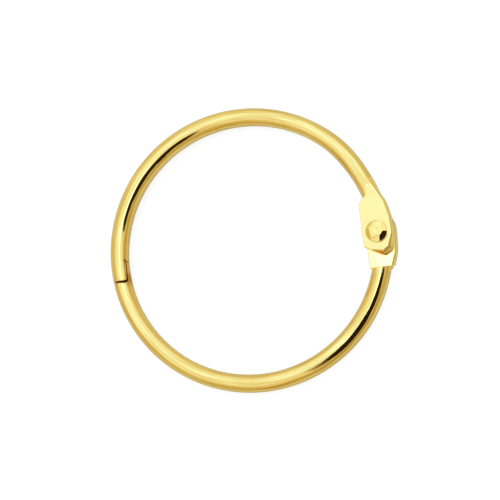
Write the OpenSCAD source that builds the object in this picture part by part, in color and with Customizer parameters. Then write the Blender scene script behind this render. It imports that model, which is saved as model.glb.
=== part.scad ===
// Hinged loose-leaf ring of round wire, closed.
// Two half rings lie in one plane. Each ends in a flattened tab at the hinge, where one tab lies on
// the other and a rivet joins them, and in half of a snap latch on the opposite side.
// Millimetres. The origin is the ring's centre in the wire's mid-plane, +Z is along the rivet towards
// its domed head, and the rivet lies on +X. The upper half is on the +Y side, the lower half on -Y.

/* [Ring] */
// Clear diameter inside the closed ring
inner_d = 39; // [38:0.5:46]
// Diameter of the round wire
wire_d = 2.9; // [2.8:0.1:3.2]

/* [Hinge tabs] */
// Thickness of each flattened tab
tab_t = 1.2; // [1.1:0.01:1.3]
// Distance from the wire's centreline inwards to the rivet's axis
rivet_inset = 0.8; // [0.6:0.1:1]
// Distance from the rivet's axis to the step where the full wire starts
step_v = 5.45; // [5.2:0.05:6]
// Radius of the upper tab's round end
upper_end_r = 3.8; // [3.2:0.05:3.9]
// Radius of the lower tab's round end
lower_end_r = 3.4; // [2.9:0.05:3.5]
// Rivet axis to the straight inner edge of the upper tab
upper_inner = 2.3; // [2:0.05:2.4]
// Rivet axis to the straight inner edge of the lower tab
lower_inner = 1.9; // [1.5:0.05:2]
// How far the upper tab's outer edge stands beyond the wire
upper_bulge = 0.36; // [0.3:0.02:0.6]
// How far the lower tab's outer edge stands beyond the wire
lower_bulge = 0.64; // [0.3:0.02:0.8]
// Size of the slanted corner where the upper tab's inner edge meets the wire
shoulder = 0.75; // [0.5:0.05:1]
// Slope in degrees of the flat that runs from a tab's face up onto the wire
facet_slope = 5; // [4:0.1:6]

/* [Rivet] */
// Diameter of the rivet's shank
shank_d = 1.9; // [1.6:0.1:2]
// Radial clearance of the shank in the upper tab, which turns on it
shank_play = 0.05; // [0.03:0.01:0.08]
// Diameter of the domed front head
head_d = 3.45; // [3.2:0.05:3.7]
// Height of the front head above the upper tab
head_h = 0.75; // [0.6:0.05:0.9]
// Diameter of the flat top of the front head
head_top_d = 1.9; // [1.6:0.1:2.2]
// Diameter of the flat back head
back_d = 3.4; // [3.2:0.1:3.6]
// Height of the back head below the lower tab
back_h = 0.45; // [0.3:0.05:0.6]

/* [Latch] */
// Angle round the ring, from the rivet, of the latch gap at the wire's outer side
gap_outer_angle = 185.8; // [184:0.1:187]
// The same at the gap's inner end: the cut is slanted across the wire
gap_inner_angle = 188; // [186:0.1:189]
// Width of the latch gap across the wire
gap_w = 0.34; // [0.2:0.02:0.5]
// Clearance between the hooked tongue and its notch
tongue_play = 0.08; // [0.06:0.01:0.14]
// Thickness of the tongue at its root
root_t = 0.48; // [0.4:0.02:0.8]
// Thickness of the tongue just below its hook
neck_t = 0.28; // [0.22:0.01:0.4]
// How far the hook stands out of the tongue
hook_h = 0.3; // [0.2:0.05:0.5]
// Length of the tongue from the gap to the hook's point
tongue_l = 4.1; // [2.8:0.1:4.2]

/* [Hidden] */
$fn = 96;

wire_r = wire_d / 2;
inner_r = inner_d / 2;
ring_r = inner_r + wire_r;
outer_r = ring_r + wire_r;
hinge_x = ring_r - rivet_inset;

// The tabs meet at the mid-plane with a hair of room between them, and so do tab and rivet head.
tab_z = 0.03;
tab_top = tab_z + tab_t;
head_play = 0.02;
shank_r = shank_d / 2;

// The tab's outer edge leaves the ring's curve here and runs straight back to the wire.
upper_taper = [[2.6, 1.9], [1.93, 4.7], [1.5, step_v]];
lower_taper = [[2.65, 3.6], [1.95, step_v]];
// Middle of the round end, across the tab from the rivet
end_u = 0.15;
// Where the inner edge turns into the slanted side of the end, and how steeply that side runs
end_v = 2.1;
end_slope = 0.56;

// Degrees round the ring for each millimetre along the wire
deg_per_mm = 180 / PI / ring_r;
tip_angle = gap_inner_angle - tongue_l * deg_per_mm;

// Bigger than a tab every way, for cutting blocks
block = 14;
gold = [0.93, 0.76, 0.36];

function polar(r, a) = [r * cos(a), r * sin(a)];

// Places its children in the tab's own frame: x across it and outwards, y towards its wire.
module at_tab() {
    translate([hinge_x, 0, 0]) children();
}

// Outline of a tab up to its step: straight inner edge, slanted and round end, outer edge along
// the ring.
module tab_outline(inner, bulge, taper, corner, round_r) {
    intersection() {
        circle(r = outer_r + bulge);
        translate([hinge_x, 0]) intersection() {
            polygon(concat([
                [corner - inner, step_v],
                [-inner, step_v - corner],
                [-inner, -end_v],
                [block, -end_v - end_slope * (block + inner)],
                [block, taper[0][1]]
            ], taper));
            union() {
                translate([end_u, 0]) circle(r = round_r);
                translate([-block / 2, 0]) square(block);
            }
        }
    }
}

// Plain round wire, from the tab's step round to the angle given.
module wire_arc(to_angle) {
    difference() {
        rotate_extrude(angle = to_angle) translate([ring_r, 0]) circle(r = wire_r);
        at_tab() translate([-block / 2, step_v - block, -block / 2]) cube(block);
    }
}

// One half in its own frame: wire on the +Y side, tab above the mid-plane, its step underneath.
module half_blank(inner, bulge, taper, corner, round_r, to_angle) {
    difference() {
        union() {
            wire_arc(to_angle);
            translate([0, 0, tab_z]) linear_extrude(tab_t)
                tab_outline(inner, bulge, taper, corner, round_r);
            // joins the tab to the wire inside the wire's own section
            at_tab() translate([-0.6, step_v - 0.4, tab_z]) cube([1.2, 1, tab_t - 0.1]);
        }
        // the crown is pressed flat from the tab's face up onto the wire
        at_tab() translate([-block / 2, step_v, tab_top]) rotate([facet_slope, 0, 0])
            translate([0, -block, 0]) cube([block, 3 * block, wire_d]);
    }
}

// Line between the two halves at the latch, from the ring's outside to its inside: the slanted
// gap, the tongue's outer face, the point of its hook and its slanted tip.
// end moves the gap along the wire and side moves the tongue's faces, both towards the upper half.
function split_line(end, side) = [
    polar(outer_r + 1, gap_outer_angle - end * deg_per_mm),
    polar(inner_r + root_t + side + 0.2, gap_inner_angle - 0.1 - end * deg_per_mm),
    polar(inner_r + root_t + side, gap_inner_angle - 0.8 - end * deg_per_mm),
    polar(inner_r + neck_t + side, tip_angle + 2.2),
    polar(inner_r + neck_t + hook_h + side, tip_angle - side * deg_per_mm),
    polar(inner_r, tip_angle + 1.7 - side * deg_per_mm),
    polar(inner_r - 1, tip_angle + 3.7 - side * deg_per_mm)
];

// What lies beyond the split line on one side of the latch, out to the angle given.
module latch_side(end, side, to_angle) {
    far = [polar(inner_r - 1, to_angle), polar(outer_r + 1, to_angle)];
    translate([0, 0, -wire_d]) linear_extrude(2 * wire_d) polygon(concat(split_line(end, side), far));
}

module upper_half_ring() {
    color(gold) difference() {
        half_blank(
            upper_inner, upper_bulge, upper_taper, shoulder, upper_end_r, gap_inner_angle + 1
        );
        latch_side(gap_w, tongue_play, gap_inner_angle + 4);
        translate([hinge_x, 0, -1]) cylinder(r = shank_r + shank_play, h = 4);
    }
}

module lower_half_ring() {
    color(gold) difference() {
        rotate([180, 0, 0])
            half_blank(lower_inner, lower_bulge, lower_taper, 0, lower_end_r, 361 - tip_angle);
        latch_side(0, 0, tip_angle - 4);
        translate([hinge_x, 0, -3]) cylinder(r = shank_r, h = 4);
    }
}

module hinge_rivet() {
    seat = tab_top + head_play;
    color(gold) translate([hinge_x, 0, 0]) rotate_extrude() polygon([
        [0, -tab_top - back_h],
        [back_d / 2 - 0.15, -tab_top - back_h],
        [back_d / 2, -tab_top - back_h + 0.15],
        [back_d / 2, -tab_top],
        [shank_r, -tab_top],
        [shank_r, seat],
        [head_d / 2, seat],
        [head_d / 2, seat + 0.1],
        [head_d / 2 - 0.15, seat + 0.25],
        [head_top_d / 2 + 0.1, seat + head_h - 0.1],
        [head_top_d / 2 - 0.1, seat + head_h],
        [0, seat + head_h]
    ]);
}

upper_half_ring();
lower_half_ring();
hinge_rivet();
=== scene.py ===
"""Looks of a hinged binder ring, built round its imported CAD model.

Two half rings of gold plated round wire and the rivet that joins them. Each half ring is one closed
mesh of an implicit shape: round wire, pressed tab, facet and latch end are distances in millimetres
that are joined with real fillets and meshed on a grid that runs round the ring.
"""

import math

import bpy
import numpy as np
from mathutils import Matrix, Vector


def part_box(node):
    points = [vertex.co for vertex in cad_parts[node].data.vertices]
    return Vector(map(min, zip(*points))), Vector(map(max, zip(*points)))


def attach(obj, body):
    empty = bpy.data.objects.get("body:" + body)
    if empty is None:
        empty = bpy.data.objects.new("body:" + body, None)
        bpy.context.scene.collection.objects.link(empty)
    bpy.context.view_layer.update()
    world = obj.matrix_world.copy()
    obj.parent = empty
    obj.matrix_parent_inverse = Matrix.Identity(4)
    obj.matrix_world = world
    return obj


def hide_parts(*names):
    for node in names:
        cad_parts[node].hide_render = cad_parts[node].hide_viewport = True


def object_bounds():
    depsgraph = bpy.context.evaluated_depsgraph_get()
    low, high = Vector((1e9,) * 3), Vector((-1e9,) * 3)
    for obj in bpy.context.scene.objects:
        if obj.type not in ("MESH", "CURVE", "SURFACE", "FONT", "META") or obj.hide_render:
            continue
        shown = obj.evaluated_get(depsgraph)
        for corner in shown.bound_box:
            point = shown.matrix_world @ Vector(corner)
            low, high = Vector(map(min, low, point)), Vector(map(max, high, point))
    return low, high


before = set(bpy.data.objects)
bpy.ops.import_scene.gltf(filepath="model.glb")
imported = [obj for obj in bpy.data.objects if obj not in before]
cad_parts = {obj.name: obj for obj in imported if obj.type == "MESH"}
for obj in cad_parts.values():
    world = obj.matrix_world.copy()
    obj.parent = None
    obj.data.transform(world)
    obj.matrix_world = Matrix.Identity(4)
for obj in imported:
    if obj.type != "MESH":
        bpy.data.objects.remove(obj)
cad_low, cad_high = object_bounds()

MM = 0.001

# ---------------------------------------------------------------- sizes in millimetres, from the frame


def box_mm(node):
    """Lowest and highest corner of a CAD node in millimetres."""
    return [[round(c / MM, 2) for c in corner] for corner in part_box(node)]


half_low, half_high = box_mm("upper_half_ring")
rivet_low, rivet_high = box_mm("hinge_rivet")

WIRE_R = -half_low[2]
OUTER_R = half_high[1]
RING_R = OUTER_R - WIRE_R
INNER_R = RING_R - WIRE_R
HINGE_X = (rivet_low[0] + rivet_high[0]) / 2
HEAD_R = (rivet_high[0] - rivet_low[0]) / 2
HEAD_TOP = rivet_high[2]
BACK_Z = rivet_low[2]
FLOOR_Z = cad_low.z

# Both tabs: the face next to the mid-plane, the outer face, and the step where the full wire starts
TAB_Z = 0.03
TAB_TOP = 1.23
STEP_V = 5.45
END_U, END_V, END_SLOPE = 0.15, 2.1, 0.56
FACET_SLOPE = math.tan(math.radians(5))

# Each half in its own frame: u runs across the tab and outwards from the rivet, v towards its wire.
# inner is the rivet axis to the straight inner edge, bulge how far the outer edge stands beyond the
# wire. end_r is the radius of the round end and end_edge how much its corners are rounded. taper and
# neck are the lines that lead the outer edge back to the wire. corner is the size of the slanted
# shoulder. reach is how far the tab runs on past the step, at its inner and at its outer side.
# rolled_top says that the outer face is the one with the rolled edge. fall and crown are the slope
# and the curve of the inner face, sway is how far the wire near the tab is bent towards the ring's
# centre, and thick_at is the angle round the ring where the wire is thickest.
UPPER_TAB = {
    "inner": 2.3,
    "bulge": 0.36,
    "end_r": 3.8,
    "end_edge": 0.6,
    "taper": ((2.6, 1.9), (1.93, 4.7)),
    "neck": ((1.93, 4.7), (1.5, STEP_V)),
    "corner": 0.75,
    "reach": (1.8, 5.5),
    "rolled_top": True,
    "fall": 0.0,
    "crown": 0.0,
    "sway": 0.26,
    "thick_at": math.radians(140),
}
LOWER_TAB = {
    "inner": 1.9,
    "bulge": 0.64,
    "end_r": 3.4,
    "end_edge": 0.9,
    "taper": ((2.65, 3.6), (1.95, STEP_V)),
    "neck": None,
    "corner": 0.0,
    "reach": (0.0, 0.47),
    "rolled_top": False,
    "fall": 0.03,
    "crown": 0.007,
    "sway": 0.03,
    "thick_at": math.radians(40),
}
# Most that the wire's radius departs from its mean
WIRE_SWELL = 0.06
# How far the blank of a tab rises above the plane that its outer face is then cut to
FACE_LIFT = 0.06
# Share of the roll's radius that the rolled face stands back by, so that the roll meets it evenly
ROLL_BACK = 0.17
# Rivet's shank, the hole of the upper tab, which is wider, and the room under the front head
SHANK_R, HOLE_R, HEAD_PLAY = 0.95, 0.98, 0.02
# How far the pressed metal may stand out of the round wire, at places along it
RIDGE_V = (4.2, 5.5, 7.0, 11.0)
RIDGE_H = (3.0, 0.33, 0.2, 0.0)

# Latch, as angles round the ring from the rivet and radii from the ring's centre
GAP_OUTER, GAP_INNER = math.radians(185.8), math.radians(188)
GAP_W = 0.34
TONGUE_PLAY = 0.06
ROOT_T, NECK_T, HOOK_H = 0.48, 0.28, 0.3
# How far the cut leans round the ring for each millimetre below the height where it is measured
GAP_SLANT = 0.12
GAP_HEIGHT = 1.2
TIP = GAP_INNER - 4.1 / RING_R

# ---------------------------------------------------------------- camera

CAMERA_DISTANCE = 0.4
CAMERA_TILT = math.radians(12.26)
CAMERA_AZIMUTH = math.radians(-39.45)
CAMERA_ROLL = math.radians(-7.1)
CAMERA_LENS = 184.3
CAMERA_ASIDE = Vector((-0.0845, -0.056, 0)) * MM


def add_camera():
    """A long lens above the ring, tilted a little towards the rivet's side."""
    toward = Vector(
        (
            math.sin(CAMERA_TILT) * math.cos(CAMERA_AZIMUTH),
            math.sin(CAMERA_TILT) * math.sin(CAMERA_AZIMUTH),
            math.cos(CAMERA_TILT),
        )
    )
    turn = Vector((0, 0, 1)).rotation_difference(toward).to_matrix()
    axes = turn @ Matrix.Rotation(CAMERA_ROLL, 3, "Z")
    data = bpy.data.cameras.new("camera")
    data.lens = CAMERA_LENS
    data.sensor_width = 36
    data.clip_start, data.clip_end = 0.01, 20
    camera = bpy.data.objects.new("camera", data)
    place = toward * CAMERA_DISTANCE + axes @ CAMERA_ASIDE
    camera.matrix_world = Matrix.Translation(place) @ axes.to_4x4()
    bpy.context.scene.collection.objects.link(camera)
    bpy.context.scene.camera = camera


# ---------------------------------------------------------------- distances


def round_cut(a, b, r):
    """Distance to what two shapes share, with the edge where they meet rounded to radius r."""
    edge = np.hypot(np.maximum(a + r, 0), np.maximum(b + r, 0))
    return np.minimum(np.maximum(a, b), -r) + edge


def fillet_join(a, b, r):
    """Distance to two shapes together, with a fillet of radius r in the corner between them."""
    return -round_cut(-a, -b, r)


def ramp(value, low, high, at_low, at_high):
    """at_low up to low, at_high from high on, and an even slope between."""
    return at_low + (at_high - at_low) * np.clip((value - low) / (high - low), 0, 1)


def ease(value, low, high, at_low, at_high):
    """Like ramp, with a slope that starts and ends softly."""
    t = np.clip((value - low) / (high - low), 0, 1)
    return at_low + (at_high - at_low) * t * t * (3 - 2 * t)


def line_distance(x, y, start, stop):
    """Signed distance to a line, positive on the right of the way from start to stop."""
    dx, dy = stop[0] - start[0], stop[1] - start[1]
    return ((x - start[0]) * dy - (y - start[1]) * dx) / math.hypot(dx, dy)


def polar(r, a):
    return (r * math.cos(a), r * math.sin(a))


def rounded(points, radii):
    """The points of an open line, with an arc of the given radius in place of each inner corner."""
    out = [points[0]]
    for before, corner, after, r in zip(points, points[1:], points[2:], radii):
        a = Vector(before) - Vector(corner)
        b = Vector(after) - Vector(corner)
        half = a.angle(b) / 2
        reach = min(r / math.tan(half), 0.48 * a.length, 0.48 * b.length)
        start = Vector(corner) + a.normalized() * reach
        stop = Vector(corner) + b.normalized() * reach
        steps = 6
        for i in range(steps + 1):
            t = i / steps
            p = start * (1 - t) ** 2 + Vector(corner) * 2 * t * (1 - t) + stop * t**2
            out.append((p.x, p.y))
    out.append(points[-1])
    return out


def outline_distance(x, y, points):
    """Signed distance to a closed outline, negative inside it."""
    nearest = np.full(x.shape, np.inf)
    inside = np.zeros(x.shape, bool)
    for (ax, ay), (bx, by) in zip(points, points[1:] + points[:1]):
        ex, ey = bx - ax, by - ay
        wx, wy = x - ax, y - ay
        t = np.clip((wx * ex + wy * ey) / (ex * ex + ey * ey), 0, 1)
        nearest = np.minimum(nearest, np.hypot(wx - t * ex, wy - t * ey))
        if abs(ey) > 1e-9:
            inside ^= ((ay > y) != (by > y)) & (wx < wy * ex / ey)
    return np.where(inside, -nearest, nearest)


# ---------------------------------------------------------------- shape of the half rings


def pressed_face(v, z):
    """Height above the tab's outer face, which runs up onto the wire as a slanted flat."""
    return z - TAB_TOP - np.maximum(v - STEP_V, 0) * FACET_SLOPE


def tab_distance(u, v, z, rho, tab):
    """A pressed tab: flat faces, a straight inner edge, a round end, an outer edge along the ring."""
    outline = round_cut(rho - (OUTER_R + tab["bulge"]), line_distance(u, v, *tab["taper"]), 0.15)
    if tab["neck"]:
        side = np.minimum(line_distance(u, v, *tab["neck"]), rho - OUTER_R + tab["sway"] + 0.05)
        outline = round_cut(outline, side, 0.25)
    round_end = np.hypot(u - END_U, np.minimum(v, 0)) - tab["end_r"]
    outline = round_cut(outline, round_end, tab["end_edge"])
    end_start, end_stop = (-tab["inner"], -END_V), (0, -END_V - END_SLOPE * tab["inner"])
    outline = round_cut(outline, line_distance(u, v, end_start, end_stop), 0.3)
    outline = round_cut(outline, -u - tab["inner"], 0.12)
    outline = round_cut(outline, v - STEP_V - ramp(u, -0.5, 0.5, *tab["reach"]), 0.1)
    if tab["corner"]:
        top = (tab["corner"] - tab["inner"], STEP_V)
        bottom = (-tab["inner"], STEP_V - tab["corner"])
        corner = line_distance(u, v, top, bottom) - ramp(u, -0.8, 0.2, 0.0, 4.0)
        outline = round_cut(outline, corner, 0.2)
    across = np.maximum(u + tab["inner"], 0)
    inner_face = TAB_Z + tab["fall"] * across + tab["crown"] * across**2 - z
    outer_face = pressed_face(v, z)
    lifted = outer_face - FACE_LIFT
    if tab["rolled_top"]:
        rolled, seen, hidden = outer_face, lifted, inner_face
    else:
        rolled, seen, hidden = inner_face, inner_face, lifted
    # the edge of the rolled face is little rounded at the ring's inside and widely outside
    roll = ramp(u, -1.2, 1.6, 0.14, ramp(v, -2.5, -0.5, 2.4, 0.95))
    body = round_cut(outline, rolled - ROLL_BACK * roll, roll)
    body = round_cut(body, seen, 0.05)
    return round_cut(body, hidden, 0.07)


def wire_distance(x, y, z, tab):
    """The round wire, bent in a little near the tab and not quite evenly thick round the ring."""
    rho = np.hypot(x, y)
    middle = RING_R - tab["sway"] * ease(y, 9.0, 16.0, 1.0, 0.0) * (x > 0)
    turn = 2 * tab["thick_at"]
    even = ((x * x - y * y) * math.cos(turn) + 2 * x * y * math.sin(turn)) / np.maximum(rho * rho, 1)
    return np.hypot(rho - middle, z) - WIRE_R - WIRE_SWELL * even


def blank_distance(x, y, z, tab):
    """Half ring in its own frame, wire on the +Y side and tab above the mid-plane, with no latch."""
    u = x - HINGE_X
    v = np.where(x > 0, y, RING_R)
    wire = wire_distance(x, y, z, tab)
    wire = round_cut(wire, STEP_V - v, 0.1)
    tab_part = tab_distance(u, v, z, np.hypot(x, y), tab)
    ridge = wire_distance(x, y, z, tab) - np.interp(v, RIDGE_V, RIDGE_H)
    tab_part = round_cut(tab_part, ridge, 0.1)
    body = fillet_join(wire, tab_part, ramp(u, -0.5, 1.0, 0.08, 0.15))
    return round_cut(body, pressed_face(v, z), 0.04)


def split_line(end, side):
    """Line between the halves at the latch, from outside the ring to inside it."""
    ahead = end / RING_R
    tip = 1.2 * side / RING_R
    return [
        polar(OUTER_R + 1, GAP_OUTER - 0.3 * ahead),
        polar(INNER_R + ROOT_T + side, GAP_INNER - ahead - 0.003),
        polar(INNER_R + NECK_T + side, TIP + 0.05),
        polar(INNER_R + NECK_T + HOOK_H + side, TIP - tip),
        polar(INNER_R, TIP + 0.036 - tip),
        polar(INNER_R - 1, TIP + 0.08 - tip),
    ]


def latch_cut(x, y, z, line, radii, beyond):
    """Distance to what lies past the leaning split line, up to the angle given."""
    lean = GAP_SLANT * (GAP_HEIGHT - z) / RING_R
    x, y = x + y * lean, y - x * lean
    far = [polar(INNER_R - 1, beyond), polar(OUTER_R + 1, beyond)]
    near = np.hypot(x, y) > INNER_R - 1
    near &= (x < -15) & (abs(y) < 8)
    distance = np.full(x.shape, 5.0)
    distance[near] = outline_distance(x[near], y[near], rounded(line, radii) + far)
    return distance


def upper_blank(x, y, z):
    return blank_distance(x, y, z, UPPER_TAB)


def lower_blank(x, y, z):
    return blank_distance(x, -y, -z, LOWER_TAB)


def upper_gone(x, y, z):
    line = split_line(GAP_W, TONGUE_PLAY)
    return latch_cut(x, y, z, line, (0.6, 0.3, 0.1, 0.03), GAP_INNER + 0.2)


def lower_gone(x, y, z):
    return latch_cut(x, y, z, split_line(0, 0), (0.6, 0.3, 0.1, 0.03), TIP - 0.2)


def upper_distance(x, y, z):
    hole = HOLE_R - np.hypot(x - HINGE_X, y)
    body = round_cut(upper_blank(x, y, z), hole, 0.05)
    return round_cut(body, -upper_gone(x, y, z), 0.12)


def lower_distance(x, y, z):
    return round_cut(lower_blank(x, y, z), -lower_gone(x, y, z), 0.1)


def painted_shading(x, y, z, gone):
    """How far the gold is tinted brown as painted shade: at the latch's edges, the tongue's root and a
    tab's end.
    """
    root = polar(INNER_R + 0.3, GAP_INNER - 0.04)
    near_root = ramp(np.hypot(x - root[0], y - root[1]), 0.4, 1.5, 0.9, 0.0)
    near_root = near_root * ramp(np.hypot(x, y), INNER_R + 0.5, INNER_R + 0.8, 1.0, 0.0)
    # a deeper gold on the rolled edge of the upper tab's round end, as painted reflection and shade where
    # it overhangs the lower tab
    near_end = ramp(y, -3.2, -2.0, 0.55, 0.0) * ramp(z, 1.0, 1.2, 1.0, 0.0)
    near_end = near_end * ((x > 0) & (y > -5) & (z > 0))
    near_cut = ramp(abs(gone(x, y, z)), 0.03, 0.28, 0.5, 0.0)
    return np.maximum(np.maximum(near_cut, near_root), near_end)


# ---------------------------------------------------------------- meshing


def grid_lines(knots):
    """Grid lines through rising knots (place, step), each step holding up to the next knot."""
    lines = [knots[0][0]]
    for (low, step), (high, _) in zip(knots, knots[1:]):
        count = max(1, round((high - low) / step))
        lines += [low + (high - low) * (i + 1) / count for i in range(count)]
    return np.array(lines)


def cell_points(values, lines, cells):
    """For each cell that the surface crosses, the mean of the places where it crosses its edges."""
    total = np.zeros((len(cells[0]), 3))
    hits = np.zeros(len(cells[0]))
    for axis in range(3):
        sides = [a for a in range(3) if a != axis]
        for p, q in ((0, 0), (0, 1), (1, 0), (1, 1)):
            start = list(cells)
            start[sides[0]] = start[sides[0]] + p
            start[sides[1]] = start[sides[1]] + q
            stop = list(start)
            stop[axis] = stop[axis] + 1
            a, b = values[tuple(start)], values[tuple(stop)]
            cut = (a < 0) != (b < 0)
            t = np.where(cut, a / np.where(cut, a - b, 1), 0)
            for m in range(3):
                low, high = lines[m][start[m]], lines[m][stop[m]]
                total[:, m] += np.where(cut, low + t * (high - low), 0)
            hits += cut
    return total / hits[:, None]


def net_faces(inside, index):
    """A quad round each grid edge that the surface crosses, facing outwards."""
    faces = []
    for axis in range(3):
        low = np.moveaxis(inside, (axis, (axis + 1) % 3, (axis + 2) % 3), (0, 1, 2))
        cell = np.moveaxis(index, (axis, (axis + 1) % 3, (axis + 2) % 3), (0, 1, 2))
        here, there = low[:-1, 1:-1, 1:-1], low[1:, 1:-1, 1:-1]
        around = [cell[:, :-1, :-1], cell[:, 1:, :-1], cell[:, 1:, 1:], cell[:, :-1, 1:]]
        for crossed, order in ((here & ~there, (0, 1, 2, 3)), (~here & there, (3, 2, 1, 0))):
            faces.append(np.stack([around[n][crossed] for n in order], -1))
    return np.concatenate(faces)


def slopes(distance, points, step):
    """Gradient of the distance at each point."""
    out = np.zeros_like(points)
    for axis in range(3):
        ahead, behind = points.copy(), points.copy()
        ahead[:, axis] += step
        behind[:, axis] -= step
        out[:, axis] = (distance(*ahead.T) - distance(*behind.T)) / (2 * step)
    return out


def settle(distance, points):
    """Moves the points along the gradient onto the surface."""
    for _ in range(3):
        slope = slopes(distance, points, 0.004)
        size = np.maximum((slope**2).sum(1), 0.2)
        points = points - slope * np.clip(distance(*points.T) / size, -0.1, 0.1)[:, None]
    return points


def relax(points, faces):
    """Moves each point halfway to the mean of its neighbours."""
    a = np.concatenate([faces[:, n] for n in range(4)] + [faces[:, (n + 1) % 4] for n in range(4)])
    b = np.concatenate([faces[:, (n + 1) % 4] for n in range(4)] + [faces[:, n] for n in range(4)])
    count = np.bincount(a, minlength=len(points))
    mean = [np.bincount(a, points[b, m], len(points)) / count for m in range(3)]
    return (points + np.stack(mean, -1)) / 2


def ring_mesh(name, distance, blank, wire, gone, radii, angles, heights):
    """Closed quad mesh of the surface where distance is zero, with its true normals."""
    rho, phi, z = np.meshgrid(radii, angles, heights, indexing="ij")
    values = distance(rho * np.cos(phi), rho * np.sin(phi), z)
    inside = values < 0
    count = np.zeros([n - 1 for n in inside.shape], int)
    for i in (0, 1):
        for j in (0, 1):
            for k in (0, 1):
                part = inside[i : i - 1 or None, j : j - 1 or None, k : k - 1 or None]
                count += part
    cells = np.nonzero((count > 0) & (count < 8))
    index = np.full(count.shape, -1)
    index[cells] = np.arange(len(cells[0]))
    faces = net_faces(inside, index)
    rho, phi, z = cell_points(values, (radii, angles, heights), cells).T
    points = np.stack([rho * np.cos(phi), rho * np.sin(phi), z], -1)
    points = settle(distance, points)
    for _ in range(3):
        points = settle(distance, relax(points, faces))
    normals = slopes(distance, points, 0.006)
    normals /= np.linalg.norm(normals, axis=1)[:, None]
    piece = add_mesh(name, points * MM, faces, normals)
    beside_tab = (points[:, 0] > 0) * ramp(abs(points[:, 1]), STEP_V, STEP_V + 1, 1.0, 0.0)
    store(piece, "drawn", ramp(abs(wire(*points.T)), 0.0, 0.04, 1.0, 0.0) * (1 - beside_tab))
    # painted shade: dark brown on the faces that lie inside the latch's gap, deeper than the uncut blank's
    # surface
    store(piece, "cut", ramp(-blank(*points.T), 0.15, 0.5, 0.0, 1.0))
    # painted shade: brown at the latch's edges, the tongue's root and the upper tab's rolled end
    store(piece, "painted_shade", painted_shading(*points.T, gone))
    return piece


def store(piece, name, values):
    """Keeps a number for each point of the mesh, for the material to read."""
    attribute = piece.data.attributes.new(name, "FLOAT", "POINT")
    attribute.data.foreach_set("value", values.astype(np.float32))


def add_mesh(name, points, faces, normals=None):
    """Smooth mesh object from numpy arrays in metres."""
    mesh = bpy.data.meshes.new(name)
    mesh.from_pydata(points.tolist(), [], faces.tolist() if isinstance(faces, np.ndarray) else faces)
    mesh.polygons.foreach_set("use_smooth", [True] * len(mesh.polygons))
    if normals is not None:
        mesh.normals_split_custom_set_from_vertices(normals.tolist())
    mesh.update()
    piece = bpy.data.objects.new(name, mesh)
    bpy.context.scene.collection.objects.link(piece)
    return piece


FINE = 0.066
DEG = math.pi / 180
FINE_DEG = FINE / RING_R / DEG


def half_ring(name, distance, blank, wire, gone, flip, latch_low, latch_high):
    """One half ring, on a grid that is fine at the tab and the latch and long on the plain wire."""
    knots = [
        (-12, FINE_DEG),
        (17.5, 2 * FINE_DEG),
        (26, 1.5),
        (latch_low, FINE_DEG),
        (latch_high, 1),
    ]
    angles = grid_lines(knots) * DEG
    if flip:
        angles = -angles[::-1]
    reach = OUTER_R + 0.8
    radii = grid_lines([(17.6, FINE), (reach, 1)])
    heights = grid_lines([(-1.6, FINE), (1.6, 1)])
    return ring_mesh(name, distance, blank, wire, gone, radii, angles, heights)


# Uneven top of the rivet's front head. Each facet faces a way round the rivet in degrees, and has its
# slope in degrees and the distance from the axis where it starts. The dents are small hollows:
# (way round, distance from the axis).
HEAD_FACETS = (
    (-41, 25, 0.84),
    (-88, 15, 0.7),
    (19, 23, 0.95),
    (60, 14, 0.9),
    (85, 25, 1.2),
    (139, 30, 1.1),
    (190, 34, 0.98),
    (259, 8, 0.62),
)
HEAD_DENTS = ((239, 0.66), (85, 1.0), (15, 1.0), (43, 1.25))
HEAD_FLAT = HEAD_TOP - 0.02


def soft_min(a, b, soft):
    """The lower of two heights, with the corner between them softened."""
    near = max(soft - abs(a - b), 0) / soft
    return min(a, b) - near * near * soft / 4


def head_height(r, a):
    """Height of the front head's top at a distance from the axis and a way round it."""
    z = HEAD_FLAT - 0.015 * math.exp(-((r / 0.35) ** 2))
    z -= 0.2 * max((r - HEAD_R + 0.34) / 0.3, 0) ** 2
    for way, slope, start in HEAD_FACETS:
        out = r * math.cos(a - math.radians(way)) - start
        z = soft_min(z, HEAD_FLAT - out * math.tan(math.radians(slope)), 0.03)
    for way, place in HEAD_DENTS:
        off = (r - place) ** 2 + 2 * r * place * (1 - math.cos(a - math.radians(way)))
        z -= 0.03 * math.exp(-off / 0.012)
    return z


def head_rim(a):
    """Points from the head's wall up round its edge, at one way round the axis."""
    edge_r, first = 0.18, math.radians(50)
    start_r = HEAD_R - edge_r * (1 - math.sin(first))
    start_z = head_height(start_r, a)
    points = []
    for i in range(9):
        t = math.pi / 2 + (first - math.pi / 2) * i / 8
        r = start_r + edge_r * (math.sin(t) - math.sin(first))
        points.append((r, start_z - edge_r * (math.cos(first) - math.cos(t))))
    return points


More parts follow.
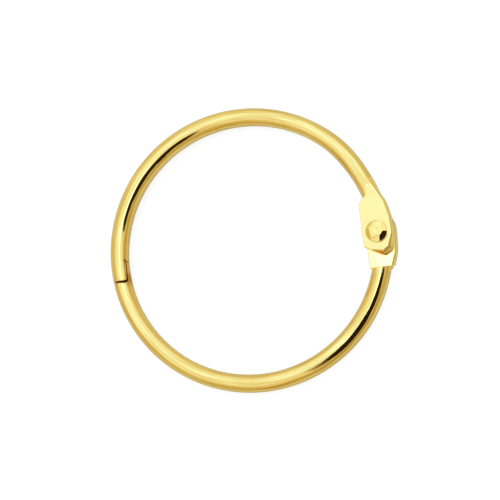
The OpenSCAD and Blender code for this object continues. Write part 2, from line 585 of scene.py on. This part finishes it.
def rivet():
    """The hinge rivet: flat back head, shank, and a shallow front head with a faceted top."""
    seat = TAB_TOP + HEAD_PLAY
    back_top = -TAB_TOP
    back_r = HEAD_R - 0.03
    below = [(r, BACK_Z + 0.03 * math.cos(r * 2.4) ** 2 * (r < 0.65)) for r in np.linspace(0, 1.3, 14)[1:]]

    def arc(cx, cz, r, start, stop, steps):
        for i in range(steps + 1):
            a = math.radians(start + (stop - start) * i / steps)
            below.append((cx + r * math.cos(a), cz + r * math.sin(a)))

    arc(back_r - 0.18, BACK_Z + 0.18, 0.18, -90, 0, 6)
    arc(back_r - 0.04, back_top - 0.04, 0.04, 0, 90, 3)
    below += [(SHANK_R, back_top), (SHANK_R, seat)]
    arc(HEAD_R - 0.03, seat + 0.03, 0.03, -90, 0, 3)

    segments = 180
    points, faces = [], []
    for j in range(segments):
        a = 2 * math.pi * j / segments
        rim = head_rim(a)
        top = [(r, head_height(r, a)) for r in np.linspace(rim[-1][0], 0, 34)[1:-1]]
        column = below + rim + top
        points += [(HINGE_X + r * math.cos(a), r * math.sin(a), z) for r, z in column]
    rows = len(column)
    for j in range(segments):
        for i in range(rows - 1):
            a, b = j * rows + i, (j + 1) % segments * rows + i
            faces.append((a, b, b + 1, a + 1))
    bottom, top = len(points), len(points) + 1
    points += [(HINGE_X, 0, BACK_Z + 0.03), (HINGE_X, 0, head_height(0, 0))]
    for j in range(segments):
        a, b = j * rows, (j + 1) % segments * rows
        faces.append((bottom, b, a))
        faces.append((top, a + rows - 1, b + rows - 1))
    return add_mesh("rivet_plated", np.array(points) * MM, faces)


# ---------------------------------------------------------------- materials


class Nodes:
    """Short way to add and link shader nodes."""

    def __init__(self, tree):
        self.tree = tree
        tree.nodes.clear()

    def add(self, kind, inputs=None, **settings):
        node = self.tree.nodes.new(kind)
        for key, value in settings.items():
            setattr(node, key, value)
        for key, value in (inputs or {}).items():
            if isinstance(value, bpy.types.NodeSocket):
                self.tree.links.new(value, node.inputs[key])
            else:
                node.inputs[key].default_value = value
        return node

    def math(self, operation, a, b=0.0, c=0.0):
        node = self.add("ShaderNodeMath", {0: a, 1: b, 2: c}, operation=operation)
        return node.outputs[0]

    def noise(self, vector, scale, detail=2.0, roughness=0.5):
        inputs = {"Vector": vector, "Scale": scale, "Detail": detail, "Roughness": roughness}
        return self.add("ShaderNodeTexNoise", inputs).outputs["Fac"]

    def mix(self, factor, a, b):
        return self.add("ShaderNodeMix", {0: factor, 6: a, 7: b}, data_type="RGBA").outputs[2]

    def ramp(self, value, low, high, at_low, at_high):
        inputs = {"Value": value, "From Min": low, "From Max": high, "To Min": at_low, "To Max": at_high}
        return self.add("ShaderNodeMapRange", inputs).outputs["Result"]


def gold(name, pale, deep):
    """Bright gold plate over drawn wire, with painted shade: dark brown on the latch's cut faces and brown
    at the latch's edges, the tongue's root and a tab's end.
    """
    material = bpy.data.materials.new(name)
    material.use_nodes = True
    n = Nodes(material.node_tree)
    place = n.add("ShaderNodeTexCoord").outputs["Object"]
    place = n.add("ShaderNodeVectorMath", {0: place, "Scale": 1 / MM}, operation="SCALE").outputs[0]
    x, y, z = n.add("ShaderNodeSeparateXYZ", {0: place}).outputs
    rho = n.math("SQRT", n.math("ADD", n.math("MULTIPLY", x, x), n.math("MULTIPLY", y, y)))
    # measured from the latch's far side, so that the angle's jump lies under the tabs
    back = [n.math("MULTIPLY", side, -1.0) for side in (y, x)]
    along = n.math("MULTIPLY", n.math("ARCTAN2", *back), RING_R)
    drawn = n.add("ShaderNodeAttribute", attribute_name="drawn").outputs["Fac"]
    cut = n.add("ShaderNodeAttribute", attribute_name="cut").outputs["Fac"]
    painted_shade = n.add("ShaderNodeAttribute", attribute_name="painted_shade").outputs["Fac"]

    # draw lines run along the wire, the waves and dimples lie anyhow
    slow = n.add("ShaderNodeCombineXYZ", {0: rho, 1: z, 2: n.math("MULTIPLY", along, 0.03)}).outputs[0]
    quick = n.add("ShaderNodeCombineXYZ", {0: rho, 1: z, 2: n.math("MULTIPLY", along, 0.3)}).outputs[0]
    bands = n.noise(slow, 1.6, 2.0)
    lines = n.noise(slow, 4.0, 3.0, 0.6)
    scratch = n.noise(quick, 14.0, 2.0)
    waves = n.noise(place, 0.35, 1.0)
    dimples = n.noise(place, 2.2, 3.0)

    bump = None
    for height, distance, strength in (
        (waves, 0.06, 0.3),
        (bands, 0.08, drawn),
        (lines, 0.012, drawn),
        (dimples, 0.003, 0.5),
    ):
        inputs = {"Height": height, "Distance": distance * MM, "Strength": strength}
        if bump:
            inputs["Normal"] = bump
        bump = n.add("ShaderNodeBump", inputs).outputs[0]

    shade = n.math("MULTIPLY", n.ramp(lines, 0.38, 0.62, 0.0, 1.0), drawn)
    tint = n.mix(shade, pale, deep)
    # painted shade, brown at the latch's edges, the tongue's root and the upper tab's end
    tint = n.mix(painted_shade, tint, (0.55, 0.24, 0.03, 1))
    # painted shade, near black brown inside the latch's gap
    tint = n.mix(cut, tint, (0.2, 0.05, 0.01, 1))
    rough = n.math("ADD", n.ramp(dimples, 0.3, 0.7, 0.045, 0.08), n.ramp(scratch, 0.62, 0.8, 0.0, 0.1))
    rough = n.math("MAXIMUM", rough, n.math("MULTIPLY", cut, 0.5))
    shader = n.add(
        "ShaderNodeBsdfPrincipled",
        {"Metallic": 1.0, "Base Color": tint, "Roughness": rough, "Normal": bump},
    )
    n.add("ShaderNodeOutputMaterial", {"Surface": shader.outputs[0]})
    return material


# ---------------------------------------------------------------- studio


def add_floor():
    """Plain white floor, which lets a view from below through."""
    size = 3.0
    z = FLOOR_Z
    corners = [(-size, -size, z), (size, -size, z), (size, size, z), (-size, size, z)]
    floor = add_mesh("floor", np.array(corners), [(0, 1, 2, 3)])
    material = bpy.data.materials.new("floor")
    material.use_nodes = True
    n = Nodes(material.node_tree)
    seen = n.add("ShaderNodeLightPath").outputs["Is Camera Ray"]
    colour = n.mix(seen, (0.72, 0.7, 0.6, 1), (0.42, 0.39, 0.34, 1))
    white = n.add("ShaderNodeBsdfDiffuse", {"Color": colour})
    glow = n.math("MULTIPLY", seen, 0.78)
    lift = n.add("ShaderNodeEmission", {"Color": (0.92, 0.96, 1.02, 1), "Strength": glow})
    lit = n.add("ShaderNodeAddShader", {0: white.outputs[0], 1: lift.outputs[0]})
    clear = n.add("ShaderNodeBsdfTransparent")
    back = n.add("ShaderNodeNewGeometry").outputs["Backfacing"]
    mix = n.add("ShaderNodeMixShader", {0: back, 1: lit.outputs[0], 2: clear.outputs[0]})
    n.add("ShaderNodeOutputMaterial", {"Surface": mix.outputs[0]})
    floor.data.materials.append(material)


def add_world():
    """A white light tent: bright overhead, dimmer and warmer towards the horizon."""
    world = bpy.data.worlds.new("tent")
    bpy.context.scene.world = world
    world.use_nodes = True
    n = Nodes(world.node_tree)
    way = n.add("ShaderNodeTexCoord").outputs["Generated"]
    way = n.add("ShaderNodeVectorMath", {0: way}, operation="NORMALIZE").outputs[0]
    turned = {0: way, "Angle": -CAMERA_ROLL}
    way = n.add("ShaderNodeVectorRotate", turned, rotation_type="Z_AXIS").outputs[0]
    x, y, z = n.add("ShaderNodeSeparateXYZ", {0: way}).outputs
    out = n.math("SQRT", n.math("SUBTRACT", 1.0, n.math("MULTIPLY", z, z)))
    folds = n.noise(way, 9.0, 3.0)
    light = n.math("MULTIPLY", n.ramp(out, 0.6, 1.0, 1.13, 0.6), n.ramp(folds, 0.3, 0.7, 0.85, 1.15))
    side = n.math("ADD", n.math("MULTIPLY", x, -0.5), n.math("MULTIPLY", y, 0.87))
    light = n.math("MULTIPLY", light, n.math("ADD", 1.0, n.math("MULTIPLY", side, 0.34)))
    across = n.math("MULTIPLY", x, x)
    light = n.math("MULTIPLY", light, n.math("SUBTRACT", 1.0, n.math("MULTIPLY", across, 0.14)))
    # a dimmer ring round the zenith, open on its bright side, and a lamp near the zenith itself
    ring = n.ramp(n.math("ABSOLUTE", n.math("SUBTRACT", out, 0.29)), 0.03, 0.09, 0.2, 0.0)
    light = n.math("SUBTRACT", light, n.math("MULTIPLY", ring, n.ramp(side, 0.1, 0.18, 1.0, 0.0)))
    zenith = (0.03, 0.05, 0.998)
    off = n.add("ShaderNodeVectorMath", {0: way, 1: zenith}, operation="DISTANCE")
    light = n.math("ADD", light, n.ramp(off.outputs["Value"], 0.05, 0.15, 1.5, 0.0))
    seen = n.add("ShaderNodeLightPath").outputs["Is Camera Ray"]
    colour = n.mix(n.ramp(light, 0.48, 1.27, 0.0, 1.0), (1.21, 1.01, 0.44, 1), (0.78, 1.03, 1.34, 1))
    colour = n.mix(seen, colour, (1, 1, 1, 1))
    light = n.math("MAXIMUM", light, seen)
    back = n.add("ShaderNodeBackground", {"Color": colour, "Strength": light})
    n.add("ShaderNodeOutputWorld", {"Surface": back.outputs[0]})


def add_dark_card():
    """A dark card above the ring, seen only as a reflection.

    Its outline, in millimetres, was chosen for where the wire's dark streaks and the rivet's dark
    facet then fall.
    """
    height = 260
    corners = [
        (30, -60),
        (40, -36),
        (50, -14),
        (68, 1),
        (130, 8),
        (272, -10),
        (255, -110),
        (235, -190),
        (200, -275),
        (120, -245),
        (75, -225),
        (16, -125),
    ]
    points = np.array([(x, y, height) for x, y in corners]) * MM
    card = add_mesh("dark_card", points, [tuple(range(len(corners)))])
    card.rotation_euler.z = CAMERA_ROLL
    card.visible_camera = card.visible_diffuse = card.visible_shadow = False
    material = bpy.data.materials.new("dark_card")
    material.use_nodes = True
    n = Nodes(material.node_tree)
    black = n.add("ShaderNodeEmission", {"Color": (0.02, 0.012, 0.006, 1), "Strength": 1.0})
    n.add("ShaderNodeOutputMaterial", {"Surface": black.outputs[0]})
    card.data.materials.append(material)


def add_key_light():
    """A soft box from the upper left, for the faint shadow beside the ring."""
    data = bpy.data.lights.new("key", "AREA")
    data.shape = "DISK"
    data.size = 0.25
    data.energy = 0.6
    light = bpy.data.objects.new("key", data)
    toward = Vector((-0.55, 0.5, 0.8)).normalized()
    light.location = toward * 0.7
    light.rotation_mode = "QUATERNION"
    light.rotation_quaternion = toward.to_track_quat("Z", "Y")
    light.visible_glossy = False
    bpy.context.scene.collection.objects.link(light)


# ---------------------------------------------------------------- the object

add_camera()
bpy.context.scene.view_settings.view_transform = "Standard"
add_world()
add_dark_card()
add_floor()
add_key_light()

wire_gold = gold("wire_gold", (1.0, 0.75, 0.28, 1), (0.88, 0.575, 0.15, 1))
rivet_gold = gold("rivet_gold", (0.98, 0.7, 0.23, 1), (0.95, 0.66, 0.2, 1))

upper = half_ring(
    "upper_half_ring_plated",
    upper_distance,
    upper_blank,
    lambda x, y, z: wire_distance(x, y, z, UPPER_TAB),
    upper_gone,
    False,
    171,
    189,
)
lower = half_ring(
    "lower_half_ring_plated",
    lower_distance,
    lower_blank,
    lambda x, y, z: wire_distance(x, -y, z, LOWER_TAB),
    lower_gone,
    True,
    171,
    186,
)
pin = rivet()
for piece, body, node, slot, material in (
    (upper, "upper_half", "upper_half_ring", "plated_wire", wire_gold),
    (lower, "lower_half", "lower_half_ring", "plated_wire", wire_gold),
    (pin, "lower_half", "hinge_rivet", "plated_rivet", rivet_gold),
):
    piece.data.materials.append(material)
    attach(piece, body)
    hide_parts(node)
